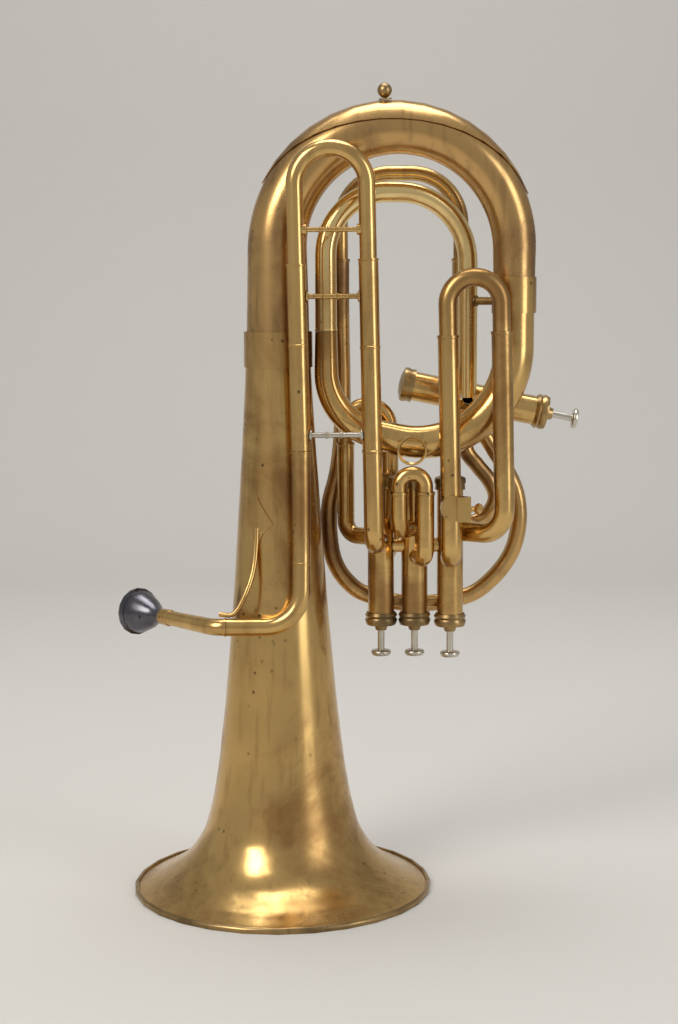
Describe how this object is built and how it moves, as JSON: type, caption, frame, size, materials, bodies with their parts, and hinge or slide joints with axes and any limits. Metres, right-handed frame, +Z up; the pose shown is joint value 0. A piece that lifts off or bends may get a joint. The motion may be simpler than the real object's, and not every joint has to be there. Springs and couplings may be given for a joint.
{
  "type": "saxhorn",
  "caption": "Upright tenor saxhorn with piston valves, tuning slides and a conical bell, standing on its bell.",
  "frame": {"origin": "centre of the bounding box's floor face, under the bell rim's plane", "axes": "+Z up from the bell rim to the bell bow, -Y towards the side with the tuning slide, -X towards the mouthpiece"},
  "size_m": [0.3798, 0.245, 0.652],
  "materials": {
    "bell_finish": "aged bright brass with brown patina",
    "bell_rim_finish": "dark patina, satin",
    "bell_ferrule_finish": "aged bright brass with brown patina",
    "bell_bow_finish": "aged bright brass with brown patina",
    "bow_guard_finish": "aged bright brass with brown patina",
    "rest_knob_finish": "dark patina, satin",
    "bow_ferrule_finish": "aged bright brass with brown patina",
    "bottom_bow_finish": "aged bright brass with brown patina",
    "inner_bow_finish": "aged bright brass with brown patina",
    "inner_bow_brace_finish": "dark patina, satin",
    "mouthpipe_finish": "aged bright brass with brown patina",
    "mouthpipe_receiver_finish": "aged bright brass with brown patina",
    "mouthpipe_stay_finish": "aged bright brass with brown patina",
    "tuning_receiver_left_finish": "aged bright brass with brown patina",
    "tuning_receiver_right_finish": "aged bright brass with brown patina",
    "tuning_brace_upper_finish": "aged bright brass with brown patina",
    "tuning_brace_lower_finish": "satin nickel silver",
    "slide_1_receiver_left_finish": "aged bright brass with brown patina",
    "slide_1_receiver_right_finish": "aged bright brass with brown patina",
    "slide_2_receiver_left_finish": "aged bright brass with brown patina",
    "slide_2_receiver_right_finish": "aged bright brass with brown patina",
    "slide_3_receiver_left_finish": "aged bright brass with brown patina",
    "slide_3_receiver_right_finish": "aged bright brass with brown patina",
    "slide_3_stay_finish": "aged bright brass with brown patina",
    "slide_4_loop_finish": "aged bright brass with brown patina",
    "slide_4_receiver_right_finish": "aged bright brass with brown patina",
    "valve_link_tube_finish": "aged bright brass with brown patina",
    "lyre_holder_finish": "aged bright brass with brown patina",
    "valve_1_casing_finish": "aged bright brass with brown patina",
    "valve_1_finger_cap_finish": "dark patina, satin",
    "valve_1_end_cap_finish": "dark patina, satin",
    "valve_1_spring_finish": "worn, satin",
    "valve_2_casing_finish": "aged bright brass with brown patina",
    "valve_2_finger_cap_finish": "dark patina, satin",
    "valve_2_end_cap_finish": "dark patina, satin",
    "valve_2_spring_finish": "worn, satin",
    "valve_3_casing_finish": "aged bright brass with brown patina",
    "valve_3_finger_cap_finish": "dark patina, satin",
    "valve_3_end_cap_finish": "dark patina, satin",
    "valve_3_spring_finish": "worn, satin",
    "valve_4_casing_finish": "aged bright brass with brown patina",
    "valve_4_finger_cap_finish": "dark patina, satin",
    "valve_4_end_cap_finish": "dark patina, satin",
    "valve_4_spring_finish": "worn, satin",
    "tuning_slide_finish": "aged bright brass with brown patina",
    "slide_1_finish": "aged bright brass with brown patina",
    "slide_2_finish": "aged bright brass with brown patina",
    "pull_ring_finish": "aged bright brass with brown patina",
    "slide_3_finish": "aged bright brass with brown patina",
    "slide_4_finish": "aged bright brass with brown patina",
    "mouthpiece_finish": "tarnished silver plate, glossy",
    "lyre_screw_finish": "aged bright brass with brown patina",
    "valve_1_piston_finish": "satin nickel silver",
    "valve_1_stem_finish": "worn, satin",
    "valve_2_piston_finish": "satin nickel silver",
    "valve_2_stem_finish": "worn, satin",
    "valve_3_piston_finish": "satin nickel silver",
    "valve_3_stem_finish": "worn, satin",
    "valve_4_piston_finish": "satin nickel silver",
    "valve_4_stem_finish": "worn, satin"
  },
  "bodies": {
    "horn": {"bell": "bell_finish", "bell_rim": "bell_rim_finish", "bell_ferrule": "bell_ferrule_finish", "bell_bow": "bell_bow_finish", "bow_guard": "bow_guard_finish", "rest_knob": "rest_knob_finish", "bow_ferrule": "bow_ferrule_finish", "bottom_bow": "bottom_bow_finish", "inner_bow": "inner_bow_finish", "inner_bow_brace": "inner_bow_brace_finish", "mouthpipe": "mouthpipe_finish", "mouthpipe_receiver": "mouthpipe_receiver_finish", "mouthpipe_stay": "mouthpipe_stay_finish", "tuning_receiver_left": "tuning_receiver_left_finish", "tuning_receiver_right": "tuning_receiver_right_finish", "tuning_brace_upper": "tuning_brace_upper_finish", "tuning_brace_lower": "tuning_brace_lower_finish", "slide_1_receiver_left": "slide_1_receiver_left_finish", "slide_1_receiver_right": "slide_1_receiver_right_finish", "slide_2_receiver_left": "slide_2_receiver_left_finish", "slide_2_receiver_right": "slide_2_receiver_right_finish", "slide_3_receiver_left": "slide_3_receiver_left_finish", "slide_3_receiver_right": "slide_3_receiver_right_finish", "slide_3_stay": "slide_3_stay_finish", "slide_4_loop": "slide_4_loop_finish", "slide_4_receiver_right": "slide_4_receiver_right_finish", "valve_link_tube": "valve_link_tube_finish", "lyre_holder": "lyre_holder_finish", "valve_1_casing": "valve_1_casing_finish", "valve_1_finger_cap": "valve_1_finger_cap_finish", "valve_1_end_cap": "valve_1_end_cap_finish", "valve_1_spring": "valve_1_spring_finish", "valve_2_casing": "valve_2_casing_finish", "valve_2_finger_cap": "valve_2_finger_cap_finish", "valve_2_end_cap": "valve_2_end_cap_finish", "valve_2_spring": "valve_2_spring_finish", "valve_3_casing": "valve_3_casing_finish", "valve_3_finger_cap": "valve_3_finger_cap_finish", "valve_3_end_cap": "valve_3_end_cap_finish", "valve_3_spring": "valve_3_spring_finish", "valve_4_casing": "valve_4_casing_finish", "valve_4_finger_cap": "valve_4_finger_cap_finish", "valve_4_end_cap": "valve_4_end_cap_finish", "valve_4_spring": "valve_4_spring_finish"},
    "tuning_slide_body": {"tuning_slide": "tuning_slide_finish"},
    "slide_1_body": {"slide_1": "slide_1_finish"},
    "slide_2_body": {"slide_2": "slide_2_finish", "pull_ring": "pull_ring_finish"},
    "slide_3_body": {"slide_3": "slide_3_finish"},
    "slide_4_body": {"slide_4": "slide_4_finish"},
    "mouthpiece_body": {"mouthpiece": "mouthpiece_finish"},
    "lyre_screw_body": {"lyre_screw": "lyre_screw_finish"},
    "valve_1_body": {"valve_1_piston": "valve_1_piston_finish", "valve_1_stem": "valve_1_stem_finish"},
    "valve_2_body": {"valve_2_piston": "valve_2_piston_finish", "valve_2_stem": "valve_2_stem_finish"},
    "valve_3_body": {"valve_3_piston": "valve_3_piston_finish", "valve_3_stem": "valve_3_stem_finish"},
    "valve_4_body": {"valve_4_piston": "valve_4_piston_finish", "valve_4_stem": "valve_4_stem_finish"}
  },
  "joints": [
    {"name": "tuning_slide_pull", "type": "slide", "parent": "horn", "child": "tuning_slide_body", "axis": [-0.018, 0, 0.9998], "range_m": [0, 0.07]},
    {"name": "slide_1_pull", "type": "slide", "parent": "horn", "child": "slide_1_body", "axis": [0, 0, 1], "range_m": [0, 0.035]},
    {"name": "slide_2_pull", "type": "slide", "parent": "horn", "child": "slide_2_body", "axis": [0, 0, 1], "range_m": [0, 0.012]},
    {"name": "slide_3_pull", "type": "slide", "parent": "horn", "child": "slide_3_body", "axis": [-0.02, 0, 0.9998], "range_m": [0, 0.045]},
    {"name": "slide_4_pull", "type": "slide", "parent": "horn", "child": "slide_4_body", "axis": [0, 0, 1], "range_m": [0, 0.04]},
    {"name": "mouthpiece_pull", "type": "slide", "parent": "horn", "child": "mouthpiece_body", "axis": [-0.6613, 0.7501, 0], "range_m": [0, 0.016]},
    {"name": "valve_1_press", "type": "slide", "parent": "horn", "child": "valve_1_body", "axis": [0, 0, 1], "range_m": [0, 0.0145], "stiffness_N_per_m": 150, "springref_m": -0.016, "deforming": ["valve_1_spring"]},
    {"name": "valve_2_press", "type": "slide", "parent": "horn", "child": "valve_2_body", "axis": [0, 0, 1], "range_m": [0, 0.0145], "stiffness_N_per_m": 150, "springref_m": -0.016, "deforming": ["valve_2_spring"]},
    {"name": "valve_3_press", "type": "slide", "parent": "horn", "child": "valve_3_body", "axis": [0, 0, 1], "range_m": [0, 0.0145], "stiffness_N_per_m": 150, "springref_m": -0.016, "deforming": ["valve_3_spring"]},
    {"name": "valve_4_press", "type": "slide", "parent": "horn", "child": "valve_4_body", "axis": [-0.9792, 0, 0.2028], "range_m": [0, 0.0145], "stiffness_N_per_m": 150, "springref_m": -0.016, "deforming": ["valve_4_spring"]},
    {"name": "lyre_screw_turn", "type": "hinge", "parent": "horn", "child": "lyre_screw_body", "pos_m": [0.0911, -0.0425, 0.318], "axis": [1, 0, 0], "range_deg": [-180, 180]}
  ]
}
